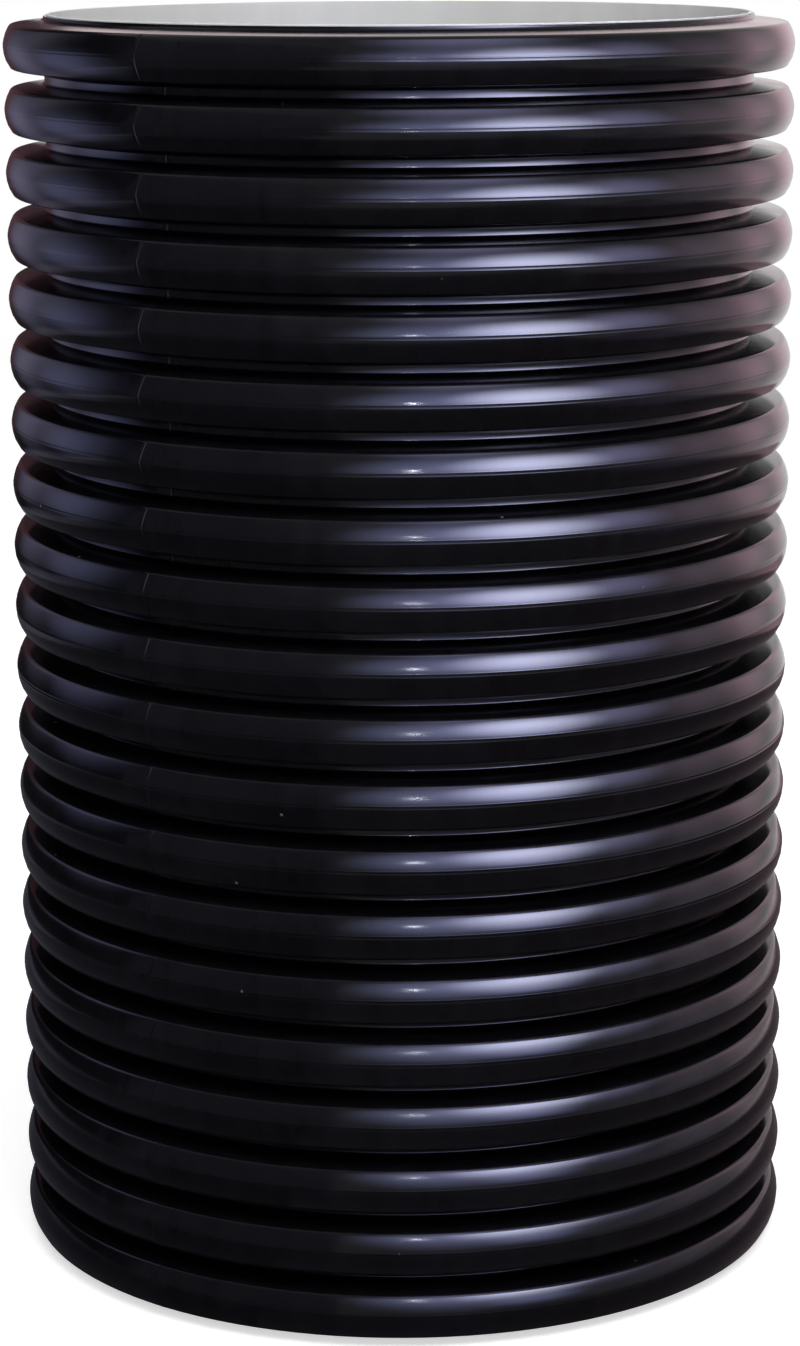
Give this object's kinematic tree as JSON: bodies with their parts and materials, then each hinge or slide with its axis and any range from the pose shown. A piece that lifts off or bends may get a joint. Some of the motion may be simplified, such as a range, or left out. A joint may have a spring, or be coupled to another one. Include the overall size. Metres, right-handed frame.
{
  "type": "corrugated formwork pipe",
  "caption": "Twin-wall corrugated plastic pipe length: black ribbed outer wall over a smooth light-grey liner, both ends cut square in a valley, standing upright.",
  "frame": {"origin": "centre of the bottom cut end", "axes": "+Z along the pipe's axis, from the end it stands on to the open top; +X to the right and -Y towards the viewer"},
  "size_m": [0.63, 0.63, 1],
  "materials": {
    "black_polyethylene": "semi-gloss, as moulded",
    "light_grey_polyethylene": "satin, smooth extruded"
  },
  "bodies": {
    "root": {"corrugated_outer_wall": "black_polyethylene", "smooth_inner_liner": "light_grey_polyethylene"}
  },
  "joints": []
}
